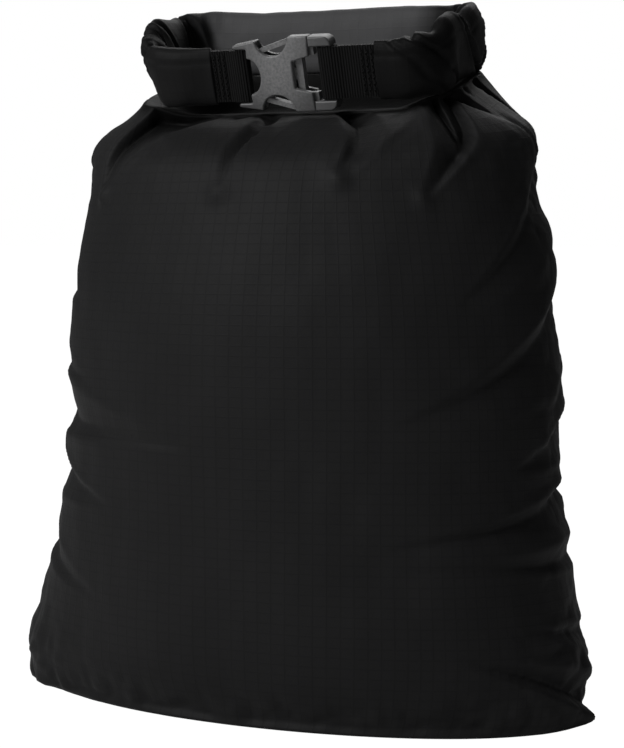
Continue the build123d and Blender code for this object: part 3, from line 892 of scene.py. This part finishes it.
# -------------------- stitching on the webbing
def stitches(name, tack):
    """Zigzag thread over each row of a CAD tack node, on the face that each row stands on."""
    low, high = ring_box(tack)
    span_x = high[0] - low[0]
    first_x = low[0] + span_x / TACK_ROWS / 4
    pitch = (span_x - span_x / TACK_ROWS / 2) / (TACK_ROWS - 1)
    step_z = (high[2] - low[2]) / ROW_STITCHES
    sides, parts = STITCH_SIDES, STITCH_PARTS
    points, faces = [], []
    for y, face in ((low[1], -1), (high[1], 1)):
        for r in range(TACK_ROWS):
            for k in range(ROW_STITCHES):
                z = low[2] + step_z * (k + 0.5)
                x = first_x + r * pitch
                lean = 0.55 * MM * (1 if k % 2 else -1)
                begin = len(points)
                for t in range(parts + 1):
                    share = -1 + 2 * t / parts
                    radius = THREAD_RADIUS * sqrt(max(0.0, 1.05 - share**2)) + 0.05 * MM
                    for q in range(sides):
                        turn = 2 * pi * q / sides
                        out_x = x + lean * share + radius * cos(turn)
                        out_y = y - face * THREAD_SUNK + radius * sin(turn) * 0.7
                        points.append(from_ring(out_x, out_y, z + step_z * 0.52 * share))
                faces += [[begin + i for i in quad] for quad in grid_faces(parts + 1, sides, True)[0]]
                faces.append(tuple(begin + q for q in reversed(range(sides))))
                faces.append(tuple(begin + parts * sides + q for q in range(sides)))
    return make_mesh(name, points, faces)


tack_left = stitches("stitching_left", "tack_stitching_left")
tack_right = stitches("stitching_right", "tack_stitching_right")


# -------------------- materials
def shader(name, **sockets):
    """A new material and its nodes, links and Principled shader."""
    material = bpy.data.materials.new(name)
    material.use_nodes = True
    tree = material.node_tree
    bsdf = tree.nodes["Principled BSDF"]
    for socket, value in sockets.items():
        bsdf.inputs[socket.replace("_", " ")].default_value = value
    return material, tree, bsdf


def maths(tree, operation, a, b=None):
    """One step of arithmetic on numbers or other nodes' outputs."""
    node = tree.nodes.new("ShaderNodeMath")
    node.operation = operation
    for socket, value in zip(node.inputs, (a, b)):
        if value is None:
            continue
        if isinstance(value, (int, float)):
            socket.default_value = value
        else:
            tree.links.new(value, socket)
    return node.outputs[0]


def noise_at(tree, vector, scale, detail=3.0):
    node = tree.nodes.new("ShaderNodeTexNoise")
    node.inputs["Scale"].default_value = scale
    node.inputs["Detail"].default_value = detail
    tree.links.new(vector, node.inputs["Vector"])
    return node.outputs["Fac"]


def bump(tree, height, strength, distance, normal=None):
    node = tree.nodes.new("ShaderNodeBump")
    node.inputs["Strength"].default_value = strength
    node.inputs["Distance"].default_value = distance
    tree.links.new(height, node.inputs["Height"])
    if normal is not None:
        tree.links.new(normal, node.inputs["Normal"])
    return node.outputs["Normal"]


def mix_colour(tree, factor, low, high):
    """A colour between two, each given as three numbers or as another node's output."""
    node = tree.nodes.new("ShaderNodeMix")
    node.data_type = "RGBA"
    tree.links.new(factor, node.inputs["Factor"])
    for socket, colour in ((node.inputs["A"], low), (node.inputs["B"], high)):
        if isinstance(colour, tuple):
            socket.default_value = (*colour, 1)
        else:
            tree.links.new(colour, socket)
    return node.outputs["Result"]


def object_place(tree):
    return tree.nodes.new("ShaderNodeTexCoord").outputs["Object"]


def split_place(tree, vector):
    node = tree.nodes.new("ShaderNodeSeparateXYZ")
    tree.links.new(vector, node.inputs[0])
    return node.outputs


def point_value(tree, name):
    """What keep_values stored on the mesh."""
    node = tree.nodes.new("ShaderNodeAttribute")
    node.attribute_name = name
    return node.outputs["Fac"]


def grid_lines(tree, coordinate, sharp):
    """1 on each ripstop thread and 0 between, from a coordinate that counts threads."""
    part = maths(tree, "FRACT", coordinate)
    distance = maths(tree, "ABSOLUTE", maths(tree, "SUBTRACT", part, 0.5))
    return maths(tree, "POWER", maths(tree, "MULTIPLY", distance, 2.0), sharp)


def ripstop():
    """Coated black ripstop: a fine weave, a raised thread every few millimetres, faint creases."""
    material, tree, bsdf = shader(
        "ripstop_nylon",
        Roughness=0.60,
        Specular_IOR_Level=0.10,
        Sheen_Weight=0.03,
        Sheen_Roughness=0.45,
    )
    uv = tree.nodes.new("ShaderNodeUVMap")
    uv.uv_map = "cloth"
    split = split_place(tree, uv.outputs["UV"])
    lines_u = grid_lines(tree, split["X"], 9.0)
    lines_v = grid_lines(tree, split["Y"], 9.0)
    lines = maths(tree, "MAXIMUM", lines_u, lines_v)
    fine_u = maths(tree, "SINE", maths(tree, "MULTIPLY", split["X"], 2 * pi * FINE_THREADS))
    fine_v = maths(tree, "SINE", maths(tree, "MULTIPLY", split["Y"], 2 * pi * FINE_THREADS))
    weave = maths(tree, "MULTIPLY", fine_u, fine_v)

    place = object_place(tree)
    cloudy = noise_at(tree, place, 26.0, 4.0)
    crinkle = noise_at(tree, place, 260.0, 5.0)
    shade = mix_colour(tree, cloudy, (0.0095, 0.0095, 0.0098), (0.0150, 0.0150, 0.0154))
    threads = mix_colour(tree, maths(tree, "MULTIPLY", lines, 0.35), shade, (0.005, 0.005, 0.0052))
    # painted shade: where the point value says, the cloth goes near black, in deep folds, under the roll
    # and along the roll
    with_painted_shade = mix_colour(tree, point_value(tree, "painted_shade"), threads, (0.0010, 0.0010, 0.0010))
    # painted light: where the point value says, the rear roll's inner face is made pale
    side = mix_colour(tree, point_value(tree, "painted_light"), with_painted_shade, (0.075, 0.075, 0.077))
    tree.links.new(side, bsdf.inputs["Base Color"])

    normal = bump(tree, crinkle, 0.20, 0.0006)
    normal = bump(tree, weave, 0.10, 0.0001, normal)
    normal = bump(tree, lines, 0.25, 0.0002, normal)
    tree.links.new(normal, bsdf.inputs["Normal"])
    return material


def webbing_material():
    """Black ribbed webbing: ribs repeated along the object's x, a finer twill over them."""
    material, tree, bsdf = shader(
        "webbing_black", Roughness=0.65, Specular_IOR_Level=0.12, Sheen_Weight=0.02, Sheen_Roughness=0.5
    )
    place = object_place(tree)
    split = split_place(tree, place)
    rib = maths(tree, "SINE", maths(tree, "MULTIPLY", split["X"], 2 * pi / RIB_PITCH))
    rib = maths(tree, "ADD", maths(tree, "MULTIPLY", rib, 0.5), 0.5)
    twill = maths(tree, "SINE", maths(tree, "MULTIPLY", split["Z"], 2 * pi / TWILL_PITCH))
    fuzz = noise_at(tree, place, 1800.0, 2.0)
    # darker in the grooves between the ribs and paler on their tops: painted shade and painted highlight
    colour = mix_colour(tree, rib, (0.0008, 0.0008, 0.0008), (0.0050, 0.0050, 0.0052))
    tree.links.new(colour, bsdf.inputs["Base Color"])
    normal = bump(tree, fuzz, 0.3, 0.0003)
    normal = bump(tree, twill, 0.25, 0.00012, normal)
    normal = bump(tree, rib, 0.9, 0.0004, normal)
    tree.links.new(normal, bsdf.inputs["Normal"])
    return material


def buckle_material():
    """Moulded acetal with a fine spark-eroded grain, and a painted highlight across the middle of the
    socket that falls to dark grey towards its ends.
    """
    material, tree, bsdf = shader("acetal_black", Roughness=0.42, Specular_IOR_Level=0.55)
    place = object_place(tree)
    grain = noise_at(tree, place, 1100.0, 2.0)
    blotch = noise_at(tree, place, 220.0, 3.0)
    colour = mix_colour(tree, grain, (0.050, 0.050, 0.051), (0.235, 0.235, 0.238))
    # painted highlight: the grained colour shows across the socket's middle, and dark grey takes over
    # towards its ends
    low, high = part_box("buckle_socket")
    highlight_x, highlight_spread = (low[0] + high[0]) / 2 + 2 * MM, 13 * MM
    off = maths(tree, "SUBTRACT", split_place(tree, place)["X"], highlight_x)
    off = maths(tree, "MULTIPLY", off, 1 / highlight_spread)
    painted_highlight = maths(tree, "EXPONENT", maths(tree, "MULTIPLY", maths(tree, "MULTIPLY", off, off), -1.0))
    tree.links.new(mix_colour(tree, painted_highlight, (0.045, 0.045, 0.046), colour), bsdf.inputs["Base Color"])
    rough = maths(tree, "ADD", maths(tree, "MULTIPLY", blotch, 0.16), 0.36)
    tree.links.new(rough, bsdf.inputs["Roughness"])
    tree.links.new(bump(tree, grain, 0.35, 0.00025), bsdf.inputs["Normal"])
    return material


def thread_material():
    """Black sewing thread, mottled by its twist."""
    material, tree, bsdf = shader("thread_black", Roughness=0.6, Specular_IOR_Level=0.15)
    place = object_place(tree)
    twist = noise_at(tree, place, 2200.0, 2.0)
    colour = mix_colour(tree, twist, (0.0015, 0.0015, 0.0015), (0.0060, 0.0060, 0.0062))
    tree.links.new(colour, bsdf.inputs["Base Color"])
    tree.links.new(bump(tree, twist, 0.4, 0.0002), bsdf.inputs["Normal"])
    return material


def plain_material(name, low, high, roughness, scale):
    """A quiet mottled finish for what lies inside the sack."""
    material, tree, bsdf = shader(name, Roughness=roughness)
    place = object_place(tree)
    mottle = noise_at(tree, place, scale, 4.0)
    tree.links.new(mix_colour(tree, mottle, low, high), bsdf.inputs["Base Color"])
    tree.links.new(bump(tree, mottle, 0.3, 0.0004), bsdf.inputs["Normal"])
    return material


def dress(obj, material):
    obj.data.materials.clear()
    obj.data.materials.append(material)


nylon = ripstop()
webbing = webbing_material()
plastic = buckle_material()
thread = thread_material()
tape = plain_material("seam_tape", (0.08, 0.08, 0.082), (0.12, 0.12, 0.124), 0.45, 300.0)
clothes = plain_material("packed_clothes", (0.24, 0.24, 0.25), (0.36, 0.36, 0.37), 0.9, 60.0)
strip = plain_material("stiffener_plastic", (0.20, 0.20, 0.20), (0.30, 0.30, 0.30), 0.5, 120.0)

for piece in (sack, neck, roll_left, roll_rear, roll_right):
    dress(piece, nylon)
for piece in (tack_left, tack_right):
    dress(piece, thread)
for name in ("webbing_left", "webbing_right"):
    dress(nodes[name], webbing)
for name in ("buckle_socket", "buckle_plug", "buckle_prong_upper", "buckle_prong_lower"):
    dress(nodes[name], plastic)
for piece in (base_tape, side_tape_left, side_tape_right):
    dress(piece, tape)
dress(packed_load, clothes)
dress(stiffener, strip)


# -------------------- how the pieces ride and what they replace
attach(sack, "sack")
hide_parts("front_panel", "back_panel", "base_panel")
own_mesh(sack)
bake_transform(neck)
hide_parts("neck_front", "neck_back")

for piece, node in (
    (base_tape, "base_seam_tape"),
    (side_tape_left, "side_seam_tape_left"),
    (side_tape_right, "side_seam_tape_right"),
    (packed_load, "packed_load"),
):
    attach(piece, "sack")
    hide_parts(node)
    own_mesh(piece)

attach(stiffener, "ring")
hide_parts("mouth_stiffener")
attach(roll_rear, "ring")
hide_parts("roll_rear")
for piece, arm, side in ((roll_left, "left", -1), (roll_right, "right", 1)):
    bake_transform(piece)
    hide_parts(f"roll_bend_{arm}", f"roll_arm_{arm}")
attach(tack_left, "left_arm")
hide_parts("tack_stitching_left")
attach(tack_right, "right_arm")
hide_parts("tack_stitching_right")


# -------------------- floor, light and camera
def seen_directly(tree):
    """1 for rays that show the backdrop itself, 0 for those that carry its light."""
    path = tree.nodes.new("ShaderNodeLightPath")
    return maths(tree, "MAXIMUM", path.outputs["Is Camera Ray"], path.outputs["Is Transmission Ray"])


def floor():
    """White paper that shows plain white to the camera, and lights the sack as paper does."""
    points = [(-40, -40, 0), (40, -40, 0), (40, 40, 0), (-40, 40, 0)]
    plane = make_mesh("studio_floor", points, [(0, 1, 2, 3)])
    material, tree, bsdf = shader("studio_paper", Roughness=0.9, Specular_IOR_Level=0.1)
    place = object_place(tree)
    tone = noise_at(tree, place, 3.0, 2.0)
    paper = mix_colour(tree, tone, (0.80, 0.80, 0.80), (0.84, 0.84, 0.84))
    tree.links.new(paper, bsdf.inputs["Base Color"])
    white = tree.nodes.new("ShaderNodeEmission")
    white.inputs["Strength"].default_value = 1.10
    blend = tree.nodes.new("ShaderNodeMixShader")
    tree.links.new(maths(tree, "MULTIPLY", seen_directly(tree), 0.93), blend.inputs[0])
    tree.links.new(bsdf.outputs[0], blend.inputs[1])
    tree.links.new(white.outputs[0], blend.inputs[2])
    tree.links.new(blend.outputs[0], tree.nodes["Material Output"].inputs["Surface"])
    dress(plane, material)


def area_light(name, place, target, size, power):
    data = bpy.data.lights.new(name, "AREA")
    data.shape = "RECTANGLE"
    data.size, data.size_y = size
    data.energy = power
    lamp = bpy.data.objects.new(name, data)
    lamp.location = place
    lamp.rotation_euler = (Vector(target) - Vector(place)).to_track_quat("-Z", "Y").to_euler()
    bpy.context.scene.collection.objects.link(lamp)


def studio():
    """One large soft lamp from the front left, a weak one behind, and the room's even light."""
    world = bpy.data.worlds.new("studio")
    bpy.context.scene.world = world
    world.use_nodes = True
    tree = world.node_tree
    background = tree.nodes["Background"]
    strength = maths(tree, "ADD", maths(tree, "MULTIPLY", seen_directly(tree), 1 - AMBIENT), AMBIENT)
    background.inputs["Color"].default_value = (1, 1, 1, 1)
    tree.links.new(strength, background.inputs["Strength"])
    area_light("key_left", (-0.80, -1.30, 1.10), (0, 0, 0.15), (0.7, 0.7), 22)
    area_light("back_top", (-0.2, 0.9, 1.1), (0, 0, 0.2), (1.0, 0.6), 6)


def camera():
    data = bpy.data.cameras.new("camera")
    data.lens = LENS_MM
    data.sensor_width = 36.0
    data.sensor_fit = "AUTO"
    data.clip_start = 0.01
    obj = bpy.data.objects.new("camera", data)
    azimuth = radians(CAMERA_AZIMUTH)
    obj.location = (CAMERA_DISTANCE * sin(azimuth), -CAMERA_DISTANCE * cos(azimuth), CAMERA_HEIGHT)
    obj.rotation_euler = (radians(90 - CAMERA_PITCH), 0, azimuth + radians(CAMERA_PAN))
    bpy.context.scene.collection.objects.link(obj)
    bpy.context.scene.camera = obj


floor()
studio()
camera()
bpy.context.scene.view_settings.view_transform = "Standard"
